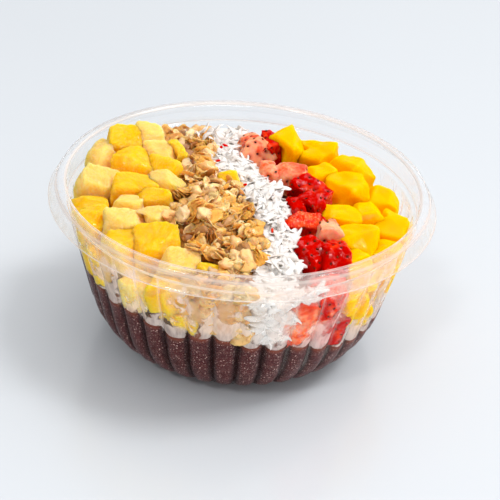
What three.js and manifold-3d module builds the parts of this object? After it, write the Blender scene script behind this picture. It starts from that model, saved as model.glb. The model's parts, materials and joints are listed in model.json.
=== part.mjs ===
// An acai bowl to take away: a clear thin bowl with forty flutes, filled with acai
// and topped with rows of pineapple, granola, shredded coconut, strawberry and mango.
// Millimetres, +Z up, origin on the ground under the middle of the flat base.
import * as THREE from "three";
import { mergeVertices } from "three/addons/utils/BufferGeometryUtils.js";
import { ConvexGeometry } from "three/addons/geometries/ConvexGeometry.js";
import Module from "manifold-3d";

const wasm = await Module();
wasm.setup();

// ---------- Driving dimensions ----------

const FLUTES = 40;
const POINTS_PER_FLUTE = 3;
const FLUTE_TURN = THREE.MathUtils.degToRad(2.2); // where the first crease stands, from +X
const FLUTE_DEPTH = 1.4; // from crease to lobe
const FLUTE_ROUND = 0.88; // 1 is a full half circle from crease to crease, 0 is flat
const WALL = 0.7;
const GAP = 0.35; // between any two pieces

const FOOT_RADIUS = 41;
const WALL_BOTTOM = 2.4; // where the lobes start
const WALL_TOP = 57; // where the lobes run out
const WALL_TOP_RADIUS = 66.3;
const LEDGE_HEIGHT = 59; // a small step that carries the next bowl in a stack
const BAND_RADIUS = 67.8; // inside of the smooth band over the ledge
const RIM_HEIGHT = 66.9;
const FLANGE_RADIUS = 75;
const FLANGE_DROP = 6.6;
const BEAD_WIDTH = 3.7; // of the rolled edge on top of the rim

// Outside of the wall along the creases, as [radius, height].
const CREASE_LINE = [
  [44.2, 2.4],
  [50.6, 7.5],
  [56.6, 17.5],
  [61.2, 35.5],
  [65.1, 52],
  [WALL_TOP_RADIUS, WALL_TOP],
];

const WALL_HEIGHTS = [WALL_BOTTOM, 7.5, 17.5, 35.5, 50, WALL_TOP];

const FILL_MIDDLE = 29.5; // height of the acai at the wall, on average
const FILL_SLOPE_X = -0.125; // it was poured a little higher on the left and the front
const FILL_SLOPE_Y = -0.046;
const HEAP_MIDDLE = 62.3; // height of the toppings over the middle of the bowl
const HEAP_SLOPE_X = -0.05;
const HEAP_FALL = 6; // from the middle to the wall
const HEAP_REACH = 64; // the radius where the toppings meet the wall
const TOPPING_DEPTH = 14; // one layer of fruit over the mound of acai
const MOUND_EDGE = 57; // the mound starts to rise at this radius
const MOUND_RUN = 13;
const MOUND_RADII = [53, 45, 24];

const TRIM = 0.3; // how much of a chunk's half width its corners lose
const CUTTER_SIDES = 24; // of the plainer round shapes that pieces are cut to
const CUTTER_GAP = 1.2; // over the acai, as a plainer shape lies a little inside the real one

const ROW_REACH = 66; // the rows run from the front to the back, this far each way
const GRANOLA_SIZES = { flake: [4.4, 3.1, 0.9], puff: [3.3, 2.4, 2.2], cluster: [5, 4.2, 3.4] };
const GRANOLA_SPACING = 7.9;
const SHRED = { length: [9, 14], width: [1.8, 2.5], thickness: 0.9, bend: [1.2, 2.8] };
const SHRED_SPACING = 6.1;

const COLOURS = {
  clear_shell: [0xe9eef0, 0.08],
  acai: [0x3b2226, 0.55],
  pineapple_pale: [0xf6e29a, 0.4],
  pineapple_deep: [0xf7c414, 0.4],
  granola: [0xc9954e, 0.75],
  coconut: [0xf2ece8, 0.7],
  strawberry_red: [0xb8140f, 0.35],
  strawberry_pale: [0xf0826a, 0.4],
  mango: [0xfdc708, 0.35],
};

// ---------- Small tools ----------

// A seeded random number, from 0 to 1.
function randomFrom(seed) {
  let state = seed >>> 0;
  return () => {
    state = (state * 1664525 + 1013904223) >>> 0;
    return state / 4294967296;
  };
}

function mix(a, b, t) {
  return a + (b - a) * t;
}

// The value of a line of [value, position] points at a position.
function along(line, position) {
  let i = 0;
  while (i < line.length - 2 && position > line[i + 1][1]) {
    i += 1;
  }
  const [[v0, p0], [v1, p1]] = [line[i], line[i + 1]];
  const t = THREE.MathUtils.clamp((position - p0) / (p1 - p0), 0, 1);
  return mix(v0, v1, t);
}

// A closed three.js geometry as a solid that can be joined and cut.
function solidOf(geometry) {
  const bare = new THREE.BufferGeometry();
  bare.setAttribute("position", geometry.getAttribute("position"));
  bare.setIndex(geometry.index);
  const merged = mergeVertices(bare, 1e-4);
  const corners = merged.index.array;
  const kept = [];
  for (let i = 0; i < corners.length; i += 3) {
    const [a, b, c] = corners.slice(i, i + 3);
    if (a !== b && b !== c && c !== a) {
      kept.push(a, b, c);
    }
  }
  return new wasm.Manifold(
    new wasm.Mesh({
      numProp: 3,
      vertProperties: new Float32Array(merged.getAttribute("position").array),
      triVerts: new Uint32Array(kept),
    }),
  );
}

// A solid as a three.js geometry, with its own origin moved to centre.
function geometryOf(solid, centre = new THREE.Vector3()) {
  const mesh = solid.getMesh();
  const geometry = new THREE.BufferGeometry();
  geometry.setAttribute("position", new THREE.BufferAttribute(mesh.vertProperties, 3));
  geometry.setIndex(new THREE.BufferAttribute(mesh.triVerts, 1));
  geometry.translate(-centre.x, -centre.y, -centre.z);
  geometry.computeVertexNormals();
  return geometry;
}

// The largest of a solid's loose bodies.
function largestBody(solid) {
  return solid.decompose().reduce((a, b) => (b.volume() > a.volume() ? b : a));
}

function boxesMeet(a, b) {
  const [p, q] = [a.boundingBox(), b.boundingBox()];
  return [0, 1, 2].every((k) => p.min[k] < q.max[k] && q.min[k] < p.max[k]);
}

function crosses(solid, others) {
  return others.some((o) => boxesMeet(solid, o) && solid.intersect(o).volume() > 1e-3);
}

// A lathe about Z whose ring j has the radius and height that shape(j, angle) gives.
function shapedLathe(rings, around, shape) {
  const flat = Array.from({ length: rings }, (_, j) => new THREE.Vector2(1 + j, j));
  const geometry = new THREE.LatheGeometry(flat, around);
  const position = geometry.getAttribute("position");
  for (let i = 0; i <= around; i += 1) {
    const angle = FLUTE_TURN + ((i % around) / around) * 2 * Math.PI;
    for (let j = 0; j < rings; j += 1) {
      const [radius, height] = shape(j, angle);
      const x = radius * Math.cos(angle);
      const y = radius * Math.sin(angle);
      position.setXYZ(i * rings + j, x, y, height);
    }
  }
  return geometry;
}

// ---------- The bowl ----------

// How far a lobe stands out of the crease line, at an angle and a height.
function lobe(angle, height) {
  const turn = ((angle - FLUTE_TURN) / (2 * Math.PI)) * FLUTES;
  const across = 2 * (turn - Math.floor(turn + 1e-6)) - 1;
  const edge = Math.sqrt(1 - FLUTE_ROUND);
  const round = (Math.sqrt(1 - FLUTE_ROUND * across * across) - edge) / (1 - edge);
  const start = THREE.MathUtils.smoothstep(height, WALL_BOTTOM - 1.5, WALL_BOTTOM + 2.5);
  const end = 1 - THREE.MathUtils.smoothstep(height, WALL_TOP - 7, WALL_TOP);
  return FLUTE_DEPTH * start * end * round;
}

function outerRadius(angle, height) {
  return along(CREASE_LINE, height) + lobe(angle, height);
}

function bowlGeometry() {
  const outside = WALL_HEIGHTS.map((h) => (angle) => [outerRadius(angle, h), h]);
  const inside = WALL_HEIGHTS.map((h) => (angle) => [
    outerRadius(angle, h) - WALL,
    Math.max(h, WALL_BOTTOM + 0.3),
  ]).reverse();
  const fixed = (radius, height) => () => [radius, height];
  const rings = [
    fixed(0, 0),
    fixed(FOOT_RADIUS, 0),
    ...outside,
    fixed(BAND_RADIUS + WALL, LEDGE_HEIGHT - WALL),
    fixed(BAND_RADIUS + WALL, RIM_HEIGHT - 1.3),
    fixed(BAND_RADIUS + BEAD_WIDTH, RIM_HEIGHT - 1.3),
    fixed(FLANGE_RADIUS - WALL, RIM_HEIGHT - FLANGE_DROP),
    fixed(FLANGE_RADIUS, RIM_HEIGHT - FLANGE_DROP),
    fixed(BAND_RADIUS + BEAD_WIDTH, RIM_HEIGHT - 0.3),
    fixed(BAND_RADIUS + BEAD_WIDTH / 2, RIM_HEIGHT),
    fixed(BAND_RADIUS, RIM_HEIGHT - 0.5),
    fixed(BAND_RADIUS, LEDGE_HEIGHT),
    fixed(WALL_TOP_RADIUS - WALL, LEDGE_HEIGHT - 0.5),
    ...inside,
    fixed(FOOT_RADIUS - 0.5, WALL),
    fixed(0, WALL),
  ];
  return shapedLathe(rings.length, FLUTES * POINTS_PER_FLUTE, (j, angle) => rings[j](angle));
}

// ---------- The acai ----------

function fillHeight(x, y) {
  const angle = Math.atan2(y, x);
  const waves = Math.sin(3 * angle + 1);
  return FILL_MIDDLE + FILL_SLOPE_X * x + FILL_SLOPE_Y * y + waves;
}

function heapHeight(x, y) {
  const share = Math.min(1, Math.hypot(x, y) / HEAP_REACH);
  return HEAP_MIDDLE + HEAP_SLOPE_X * x - HEAP_FALL * share * share;
}

// The top of the acai: level at the wall, and a mound that carries the toppings.
function moundHeight(x, y) {
  const level = fillHeight(x, y);
  const rise = THREE.MathUtils.smoothstep(MOUND_EDGE - Math.hypot(x, y), 0, MOUND_RUN);
  return mix(level, heapHeight(x, y) - TOPPING_DEPTH, rise);
}

// The acai. It is swollen by lift, outward and up, where it cuts the pieces that lie on it.
function acaiGeometry(sides, lift) {
  const floor = WALL + GAP;
  const rings = [
    () => [0, floor],
    () => [FOOT_RADIUS - 1.5, floor],
    (angle) => [outerRadius(angle, WALL_BOTTOM) - WALL - 2 * GAP, WALL_BOTTOM + 2 * GAP],
  ];
  for (const h of WALL_HEIGHTS.slice(1, 3)) {
    rings.push((angle) => [outerRadius(angle, h) - WALL - GAP + lift, h]);
  }
  rings.push((angle) => {
    const rough = along(CREASE_LINE, FILL_MIDDLE);
    const height = fillHeight(rough * Math.cos(angle), rough * Math.sin(angle));
    return [outerRadius(angle, height) - WALL - GAP + lift, height + lift];
  });
  for (const r of MOUND_RADII) {
    rings.push((angle) => [r, moundHeight(r * Math.cos(angle), r * Math.sin(angle)) + lift]);
  }
  rings.push(() => [0, moundHeight(0, 0) + lift]);
  return shapedLathe(rings.length, sides, (j, angle) => rings[j](angle));
}

// The room that the toppings may fill, a gap inside the bowl.
function roomGeometry() {
  const inset = WALL + GAP;
  const wall = CREASE_LINE.slice(1).map(([r, h]) => [r - inset, h]);
  const band = BAND_RADIUS - 1.5 * GAP;
  const high = RIM_HEIGHT + 10;
  const rings = [
    [0, wall[0][1]],
    ...wall,
    [WALL_TOP_RADIUS - inset, LEDGE_HEIGHT],
    [band, LEDGE_HEIGHT + GAP],
    [band, high],
    [0, high],
  ];
  return shapedLathe(rings.length, CUTTER_SIDES, (j) => rings[j]);
}

// ---------- Chunks of fruit ----------

// Each chunk as [x, y, z of its middle], [width, depth, height], turn about Z and tilt, in degrees.
const PINEAPPLE = [
  ["deep", [-50, 29, 62.5], [12, 12, 13], 20, 12],
  ["pale", [-57, 20, 60.5], [12, 12, 12], 55, -8],
  ["pale", [-41, 35, 61.5], [11, 11, 12], 10, 10],
  ["pale", [-57, 2, 58], [14, 13, 12], -15, 8],
  ["deep", [-46, 16, 59], [15, 12, 11], 5, -6],
  ["pale", [-36, 26, 59], [15, 9, 10], -35, 5],
  ["deep", [-43, 1, 57], [15, 14, 13], 8, 4],
  ["deep", [-33, 15, 58], [15, 9, 10], -30, 8],
  ["pale", [-32, 3, 58.5], [15, 9, 10], -20, -12],
  ["deep", [-28, 27, 60], [8, 8, 8], 25, 10],
  ["deep", [-58, -11, 55], [12, 11, 11], 12, 0],
  ["deep", [-34, -9, 56.5], [12, 9, 11], 10, 6],
  ["pale", [-44, -14, 57.5], [13, 9, 10], -5, -8],
  ["deep", [-54, -23, 54.5], [13, 11, 12], 25, 5],
  ["pale", [-43, -26, 56.5], [14, 11, 12], 30, 8],
  ["pale", [-33, -22, 56.5], [10, 10, 11], 80, 6],
  ["deep", [-30, -37, 56], [15, 13, 12], 15, 5],
  ["deep", [-42, -38, 53.5], [13, 11, 12], 35, -6],
  ["pale", [-22, -47, 54], [13, 10, 10], -10, 5],
  ["deep", [-12, -49, 54.5], [9, 8, 9], 30, 8],
  ["deep", [-6.5, 9, 60], [7, 7, 7], 20, 15],
  ["deep", [-53, -29, 43.5], [20, 12, 13], 62, 5],
  ["pale", [-36, -48, 42], [13, 11, 12], 50, 8],
  ["deep", [-26, -55, 48], [15, 9, 12], 25, 0],
  ["deep", [-20, -57, 38], [11, 8, 8], 20, 6],
  ["deep", [-54, 27, 46.5], [22, 14, 15], 62, 4],
];

const STRAWBERRY = [
  ["pale", [2.5, 43, 57.5], [12.5, 13, 12], 15, -20],
  ["red", [9.5, 44.5, 56], [8, 12, 12], 10, 5],
  ["pale", [15, 20.5, 58], [17, 10, 9.5], -8, -8],
  ["red", [27, 11, 57.5], [14.5, 8.5, 9], -25, 10],
  ["red", [23.5, -3, 57], [12, 11, 10], 30, -5],
  ["red", [25, -15, 57], [16, 8, 9], 12, 8],
  ["pale", [33, -20, 56], [9, 8, 10], 5, 4],
  ["red", [25.5, -34, 53.5], [11, 12, 12], -20, 5],
  ["red", [34, -33, 53.5], [11, 12, 12], 25, -6],
  ["red", [34, -49, 48], [13, 9, 12], 32, 0],
  ["pale", [26, -54, 41.5], [15, 10, 20], 22, 5],
  ["red", [37, -48, 34], [11, 8, 11], 34, 8],
  ["red", [14, 54, 44], [17, 10, 14], -12, 0],
];

const MANGO = [
  [[17, 46, 57.5], [13, 12, 15], 42, 14],
  [[29.5, 45.5, 52.5], [14, 12, 12], -20, 5],
  [[43, 35, 52.5], [15, 13, 12], -40, -6],
  [[42, 18, 53], [14, 14, 13], 12, 5],
  [[55.5, 18, 50.5], [11, 12, 12], 8, 6],
  [[49, 2, 51.5], [11, 10, 12], 20, -5],
  [[58, -3, 49], [11, 12, 12], -12, 5],
  [[38, -5, 53.5], [13, 11, 12], 5, 4],
  [[30, 27, 54], [12, 11, 11], 20, -8],
  [[43, -19, 52], [14, 12, 12], -15, 6],
  [[54, -18, 49], [13, 12, 11], 20, 4],
  [[43, -32, 50], [10, 12, 11], 35, 0],
  [[46, -42, 41], [13, 9, 13], 42, 4],
  [[49, -35, 28.5], [9, 8, 15], 40, 10],
  [[58, -14, 34], [16, 12, 17], -12, 4],
  [[59, 10, 36], [16, 13, 17], 10, 0],
  [[44, 41, 38], [24, 13, 17], -43, 3],
];

// The corners of an uneven block: each of its eight corners is cut by an edge.
function chunkCorners([width, depth, height], random) {
  const corners = [];
  for (const sx of [-1, 1]) {
    for (const sy of [-1, 1]) {
      for (const sz of [-1, 1]) {
        const whole = Math.floor(3 * random());
        for (const axis of [0, 1, 2].filter((k) => k !== whole)) {
          const p = new THREE.Vector3((sx * width) / 2, (sy * depth) / 2, (sz * height) / 2);
          p.setComponent(axis, p.getComponent(axis) * (1 - TRIM * (0.7 + 0.9 * random())));
          p.multiplyScalar(0.94 + 0.12 * random());
          corners.push(p);
        }
      }
    }
  }
  return corners;
}

function chunk([, at, size, turn, tilt], seed) {
  const place = new THREE.Matrix4().makeRotationFromEuler(
    new THREE.Euler(
      THREE.MathUtils.degToRad(tilt),
      THREE.MathUtils.degToRad(0.6 * tilt),
      THREE.MathUtils.degToRad(turn),
      "ZYX",
    ),
  );
  place.setPosition(...at);
  const corners = chunkCorners(size, randomFrom(seed));
  const grown = 1 + (2 * GAP) / Math.min(...size);
  const hull = (scale) =>
    solidOf(
      new ConvexGeometry(
        corners.map((p) => p.clone().multiplyScalar(scale).applyMatrix4(place)),
      ),
    );
  return { body: hull(1), around: hull(grown), at: new THREE.Vector3(...at) };
}

// ---------- Heaps of small things ----------

// The rows' edges, from the front of the bowl to the back, as [x, y].
const GRANOLA_LEFT = [
  [-14, -66],
  [-17, -50],
  [-23, -38],
  [-27, -22],
  [-27, -8],
  [-25, 8],
  [-25, 20],
  [-33, 36],
  [-41, 66],
];
const GRANOLA_RIGHT = [
  [6, -66],
  [7.5, -40],
  [9, -27],
  [7, -14],
  [-1.5, 2],
  [-12, 16],
  [-13, 34],
  [-17, 66],
];
const COCONUT_RIGHT = [
  [19, -66],
  [21, -46],
  [22, -28],
  [18.5, -14],
  [15, 2],
  [6, 18],
  [-2, 32],
  [-4, 66],
];

// A row's bare core, from the acai up to a little under the top of the heap.
function rowCore(left, right, top) {
  const geometry = new THREE.BoxGeometry(1, 1, 1, 2, 11, 2);
  const position = geometry.getAttribute("position");
  for (let i = 0; i < position.count; i += 1) {
    const y = position.getY(i) * 2 * ROW_REACH;
    const x = mix(along(left, y), along(right, y), position.getX(i) + 0.5);
    const low = moundHeight(x, y) - 3;
    const high = Math.max(low + 2, heapHeight(x, y) + top);
    position.setXYZ(i, x, y, mix(low, high, position.getZ(i) + 0.5));
  }
  return solidOf(geometry);
}

function shifted(line, dx) {
  return line.map(([x, y]) => [x + dx, y]);
}

// A flake, puff or cluster: a ball of few sides, pressed to a size and turned at random.
function granolaPiece(random) {
  const kind = ["flake", "puff", "flake", "cluster"][Math.floor(4 * random())];
  const ball =
    kind === "puff" ? new THREE.OctahedronGeometry(1, 1) : new THREE.IcosahedronGeometry(1, 0);
  ball.scale(...GRANOLA_SIZES[kind].map((s) => s * (0.85 + 0.3 * random())));
  ball.rotateZ(2 * Math.PI * random());
  ball.rotateX((random() - 0.5) * (kind === "flake" ? 1.5 : 1));
  ball.rotateY((random() - 0.5) * 1.2);
  return ball;
}

// A shred of coconut: a thin strip, bent along its length.
function coconutPiece(random) {
  const length = mix(...SHRED.length, random());
  const width = mix(...SHRED.width, random());
  const strip = new THREE.BoxGeometry(length, width, SHRED.thickness, 2, 1, 1);
  const position = strip.getAttribute("position");
  const bend = mix(...SHRED.bend, random());
  for (let i = 0; i < position.count; i += 1) {
    const t = (2 * position.getX(i)) / length;
    position.setZ(i, position.getZ(i) + bend * (0.5 - t * t));
    position.setY(i, position.getY(i) * (1 - 0.35 * t * t) + 1.4 * t * t);
  }
  strip.rotateX((random() - 0.5) * 1.6);
  strip.rotateY((random() - 0.5) * 0.9);
  strip.rotateZ(2 * Math.PI * random());
  return strip;
}

// The core with pieces fused on over its top, leaving out each that would cross something else.
function heap({ core, left, right, spacing, lift, makePiece, obstacles, seed }) {
  const random = randomFrom(seed);
  const pieces = [core];
  for (let y = -ROW_REACH; y < ROW_REACH; y += spacing) {
    const [from, to] = [along(left, y), along(right, y)];
    const count = Math.max(1, Math.round((to - from) / spacing));
    for (let k = 0; k < count; k += 1) {
      const x = mix(from, to, (k + 0.25 + 0.5 * random()) / count);
      const py = y + (random() - 0.5) * 0.6 * spacing;
      const piece = makePiece(random);
      const wide = piece.clone().scale(1.08, 1.08, 1.3);
      const at = [x, py, heapHeight(x, py) + lift];
      const solid = solidOf(piece.translate(...at));
      const guard = solidOf(wide.translate(...at));
      const fits = guard.subtract(room).volume() < 1e-3 && !crosses(guard, obstacles);
      if (fits && solid.intersect(core).volume() > 1) {
        pieces.push(solid);
      }
    }
  }
  return largestBody(wasm.Manifold.union(pieces));
}

// ---------- The whole ----------

const materials = Object.fromEntries(
  Object.entries(COLOURS).map(([name, [color, roughness]]) => [
    name,
    new THREE.MeshStandardMaterial({ name, color, roughness, metalness: 0 }),
  ]),
);
materials.clear_shell.transparent = true;
materials.clear_shell.opacity = 0.25;

const group = new THREE.Group();

function add(name, geometry, material, at) {
  const mesh = new THREE.Mesh(geometry, materials[material]);
  mesh.name = name;
  if (at) {
    mesh.position.copy(at);
  }
  group.add(mesh);
}

add("bowl", geometryOf(solidOf(bowlGeometry())), "clear_shell");
add("acai", geometryOf(solidOf(acaiGeometry(2 * FLUTES, 0))), "acai");

const room = solidOf(roomGeometry()).subtract(solidOf(acaiGeometry(CUTTER_SIDES, CUTTER_GAP)));
const fruits = [
  ...STRAWBERRY.map((row, i) => ["strawberry", i, row, `strawberry_${row[0]}`]),
  ...MANGO.map((row, i) => ["mango", i, ["", ...row], "mango"]),
  ...PINEAPPLE.map((row, i) => ["pineapple", i, row, `pineapple_${row[0]}`]),
];
const placed = [];
fruits.forEach(([kind, index, row, material], order) => {
  const made = chunk(row, 101 + 7 * order);
  let body = made.body.intersect(room);
  for (const other of placed) {
    if (boxesMeet(body, other.around)) {
      body = body.subtract(other.around);
    }
  }
  const name = `${kind}_${String(index + 1).padStart(2, "0")}`;
  add(name, geometryOf(largestBody(body), made.at), material, made.at);
  placed.push(made);
});

const fruitRoom = placed.map((made) => made.around);
function fittedCore(left, right, top) {
  const core = rowCore(shifted(left, GAP / 2), shifted(right, -GAP / 2), top);
  return largestBody(core.intersect(room).subtract(wasm.Manifold.union(fruitRoom)));
}
const granolaCore = fittedCore(GRANOLA_LEFT, GRANOLA_RIGHT, -2.2);
const coconutCore = fittedCore(GRANOLA_RIGHT, COCONUT_RIGHT, -3);

const granola = heap({
  core: granolaCore,
  left: GRANOLA_LEFT,
  right: GRANOLA_RIGHT,
  spacing: GRANOLA_SPACING,
  lift: -1,
  makePiece: granolaPiece,
  obstacles: [...fruitRoom, coconutCore],
  seed: 11,
});
add("granola", geometryOf(granola), "granola");

const coconut = heap({
  core: coconutCore,
  left: GRANOLA_RIGHT,
  right: COCONUT_RIGHT,
  spacing: SHRED_SPACING,
  lift: -2.4,
  makePiece: coconutPiece,
  obstacles: [...fruitRoom, granola],
  seed: 23,
});
add("coconut", geometryOf(coconut), "coconut");

export default group;
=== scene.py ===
"""Acai bowl to take away: fine shapes and finishes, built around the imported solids."""

import json
import math
import random
from bisect import bisect_left
from functools import partial
from itertools import accumulate

import bmesh
import bpy
from mathutils import Matrix, Vector, noise
from mathutils.bvhtree import BVHTree
from mathutils.kdtree import KDTree

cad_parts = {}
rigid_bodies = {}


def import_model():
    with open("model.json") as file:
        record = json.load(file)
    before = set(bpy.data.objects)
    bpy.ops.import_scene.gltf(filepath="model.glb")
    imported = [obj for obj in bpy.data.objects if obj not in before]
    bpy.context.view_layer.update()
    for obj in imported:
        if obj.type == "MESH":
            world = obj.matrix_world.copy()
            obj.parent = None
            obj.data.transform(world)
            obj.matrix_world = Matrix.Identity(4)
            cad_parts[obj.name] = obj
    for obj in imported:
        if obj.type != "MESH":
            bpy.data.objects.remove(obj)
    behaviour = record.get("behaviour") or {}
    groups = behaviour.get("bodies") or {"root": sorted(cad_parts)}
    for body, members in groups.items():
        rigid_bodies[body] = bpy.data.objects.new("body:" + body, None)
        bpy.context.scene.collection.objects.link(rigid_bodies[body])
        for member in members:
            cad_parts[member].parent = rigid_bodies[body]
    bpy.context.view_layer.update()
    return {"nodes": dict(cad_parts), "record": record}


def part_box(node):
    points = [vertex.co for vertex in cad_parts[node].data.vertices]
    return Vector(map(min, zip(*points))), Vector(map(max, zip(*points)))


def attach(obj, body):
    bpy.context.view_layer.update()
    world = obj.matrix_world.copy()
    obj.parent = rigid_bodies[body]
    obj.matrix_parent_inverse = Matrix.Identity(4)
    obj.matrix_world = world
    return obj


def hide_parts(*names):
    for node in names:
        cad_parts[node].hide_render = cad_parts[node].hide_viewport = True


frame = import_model()

bl_info = {
    "name": "Acai bowl",
    "version": (1, 0, 0),
    "blender": (4, 5, 0),
    "location": "3D View > Sidebar > Acai bowl",
    "description": "Builds a clear fluted bowl of acai with rows of fruit, granola and coconut",
    "category": "Add Mesh",
}

# Shapes are worked out in millimetres and made metres at the end.
MM = 0.001

# The wall: where its flutes start round the bowl, how round they are, and its heights.
FLUTE_TURN = math.radians(2.2)
FLUTE_ROUND = 0.94
WALL_BOTTOM = 2.0
TENT_START = 50.0
WALL_TOP = 57.4
FLUTES_END = 58.0
LEDGE = 59.0
RIM_HEIGHT = 66.75
BAND_RADIUS = 68.2

# Points round each flute, in the plastic and in the acai.
SHELL_STEPS = 12
PULP_STEPS = 10

# How far the acai reaches into the wall, and how high it stands in the middle.
PULP_IN_WALL = 0.35
PULP_TOP = 46.0

# How far chunks stay inside the wall's outside, and their largest radius behind the band.
CHUNK_CLEARANCE = 0.3
BAND_INSIDE = 66.2

# How far off a chunk is still looked for from the wall, and half the gap where one is cut through.
SEARCH_END = 6.0
HALF_GAP = 0.7

# Places tried for the seeds of one piece of strawberry.
SEED_TRIES = 900

# A whole turn in radians, for pieces that may face any way.
FULL_TURN = 6.28

# How many flakes lie against the wall, and the radius past which a heap counts as near it.
WALL_FLAKES = 90
NEAR_WALL = 48.0

# The underside and the foot, as (radius, height).
BASE_LINE = ((0, 0.0), (14, 0.0), (28, 0.0), (38, 0.0), (41.0, 0.05), (43, 0.7))

# The outside of the wall along the creases, as (height, radius).
CREASE_LINE = (
    (0.0, 41.0), (2.4, 44.8), (5.0, 48.3), (8.0, 51.2), (12.0, 54.0), (16.0, 56.1),
    (20.0, 57.5), (25.0, 58.8), (30.0, 60.0), (35.0, 61.2), (40.0, 62.4), (45.0, 63.6),
    (50.0, 64.8), (55.0, 66.0), (58.0, 66.6),
)

# The ledge, band, rim and flange, as (radius, height).
RIM_LINE = (
    (66.9, 58.3), (67.9, 58.6), (BAND_RADIUS, LEDGE), (68.25, 59.6), (68.3, 61.5), (68.4, 64.2),
    (68.5, 65.7), (68.8, 66.4), (69.5, RIM_HEIGHT), (70.6, RIM_HEIGHT), (71.3, 66.4),
    (71.8, 65.6), (72.7, 63.6), (73.6, 61.7), (74.4, 60.3), (74.95, 60.0),
)

# Edges of the plastic, painted pale as highlights where they catch the light, as (radius, height,
# strength).
PAINTED_HIGHLIGHTS = (
    (68.8, 66.4, 0.85), (71.8, 65.6, 0.45), (BAND_RADIUS, LEDGE, 0.8), (74.95, 60.0, 0.6),
)

# Height of the acai at the wall, as (angle in degrees, height).
PULP_LINE = (
    (-180, 37.5), (-148, 37.0), (-141, 33.0), (-129, 34.5), (-117, 33.6), (-111, 31.0),
    (-103, 32.9), (-95, 32.3), (-89, 34.4), (-83, 30.2), (-75, 29.2), (-65, 27.9),
    (-57, 24.9), (-47, 22.4), (-35, 20.5), (0, 21.5), (40, 21.5), (90, 26.5), (140, 33.5),
    (180, 37.5),
)

# Lamps, as (name, place, size, share of the main lamp's power), all aimed at AIM, in metres.
LAMPS = (
    ("key", (1.4, 0.2, 2.4), (0.8, 0.8), 1.0),
    ("fill", (0.7, -2.2, 0.32), (1.6, 0.5), 0.75),
    ("glint", (-0.9, -1.1, 1.6), (0.35, 0.35), 0.25),
)
AIM = Vector((0, 0, 0.04))

# The camera's place in metres, its right, upward and backward axes, and its lens.
CAMERA_PLACE = (0, -0.43975, 0.30436)
CAMERA_AXES = (
    (0.99702, 0.03278, 0.06986), (-0.07669, 0.52124, 0.84995), (-0.00856, -0.85278, 0.52220),
)
LENS = 92.92


# ---------- Small tools ----------


def clamp(value):
    """A value kept from 0 to 1."""
    return min(1.0, max(0.0, value))


def along(line, position):
    """The value of a line of (position, value) pairs at a position."""
    for (p0, v0), (p1, v1) in zip(line, line[1:]):
        if position <= p1:
            break
    return v0 + (v1 - v0) * clamp((position - p0) / (p1 - p0))


def ease(low, high, value):
    """From 0 at low to 1 at high, with no corner at either end. Low may be the larger."""
    part = clamp((value - low) / (high - low))
    return part * part * (3 - 2 * part)


def bearing(point):
    """The angle round the bowl's axis at which a point lies."""
    return math.atan2(point.y, point.x)


def in_degrees(angle):
    """An angle in degrees, from -180 to 180."""
    return (math.degrees(angle) + 180) % 360 - 180


def colour(code):
    """A hexadecimal screen colour as the linear colour that a shader takes."""
    parts = [int(code[i : i + 2], 16) / 255 for i in (1, 3, 5)]
    return [p / 12.92 if p <= 0.04045 else ((p + 0.055) / 1.055) ** 2.4 for p in parts] + [1.0]


def wobble(point, size, seed=0):
    """Smooth noise from -1 to 1, with lumps of about the given size."""
    return noise.noise(point / size + Vector((seed * 17.3, seed * 5.1, seed * 9.7)))


def middle_of(bm):
    """The mean of a bmesh's points."""
    return sum((v.co for v in bm.verts), Vector()) / len(bm.verts)


def as_mesh(bm, name="shape"):
    """A mesh from a bmesh, which is used up."""
    mesh = bpy.data.meshes.new(name)
    bm.to_mesh(mesh)
    bm.free()
    return mesh


def marks(bm, *names):
    """New layers that store a number at each point."""
    return [bm.verts.layers.float.new(name) for name in names]


def finish(bm, name, material, node_names=(), inside=None):
    """Turns a bmesh in millimetres into a finished piece in metres."""
    bmesh.ops.scale(bm, vec=(MM, MM, MM), verts=bm.verts)
    mesh = as_mesh(bm, name)
    piece = bpy.data.objects.new(name, mesh)
    bpy.context.scene.collection.objects.link(piece)
    for each in filter(None, (material, inside)):
        mesh.materials.append(each)
    mesh.polygons.foreach_set("use_smooth", [True] * len(mesh.polygons))
    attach(piece, "root")
    if node_names:
        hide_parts(*node_names)
    return piece


def lathe(rings, steps, place, open_top=False):
    """A round shape about Z. place(ring, angle) gives each ring's radius and height."""
    bm = bmesh.new()
    poles = (0,) if open_top else (0, rings - 1)
    line = [bm.verts.new((0.0 if j in poles else 1.0, 0, j)) for j in range(rings)]
    edges = [bm.edges.new(pair) for pair in zip(line, line[1:])]
    bmesh.ops.spin(
        bm, geom=line + edges, cent=(0, 0, 0), axis=(0, 0, 1), dvec=(0, 0, 0),
        angle=2 * math.pi, steps=steps, use_merge=True, use_duplicate=False,
    )
    bmesh.ops.remove_doubles(bm, verts=bm.verts, dist=1e-5)
    for v in bm.verts:
        angle = bearing(v.co) + FLUTE_TURN
        radius, height = place(round(v.co.z), angle)
        if v.co.xy.length < 0.5:
            radius = 0.0
        v.co = (radius * math.cos(angle), radius * math.sin(angle), height)
    bmesh.ops.recalc_face_normals(bm, faces=bm.faces)
    return bm


# ---------- Finishes ----------


def node(tree, kind, inputs=None, **settings):
    """Adds a shader node."""
    made = tree.nodes.new("ShaderNode" + kind)
    for key, value in settings.items():
        setattr(made, key, value)
    feed(made, inputs or {})
    return made


def feed(made, inputs):
    """Gives a node its inputs, each a value or another node's output."""
    for key, value in inputs.items():
        if isinstance(value, bpy.types.NodeSocket):
            made.id_data.links.new(value, made.inputs[key])
        else:
            made.inputs[key].default_value = value


def new_finish(name, **sockets):
    """A material with one Principled shader, its node tree and that shader."""
    material = bpy.data.materials.new(name)
    material.use_nodes = True
    shader = material.node_tree.nodes["Principled BSDF"]
    feed(shader, {key.replace("_", " "): value for key, value in sockets.items()})
    return material, material.node_tree, shader


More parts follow.
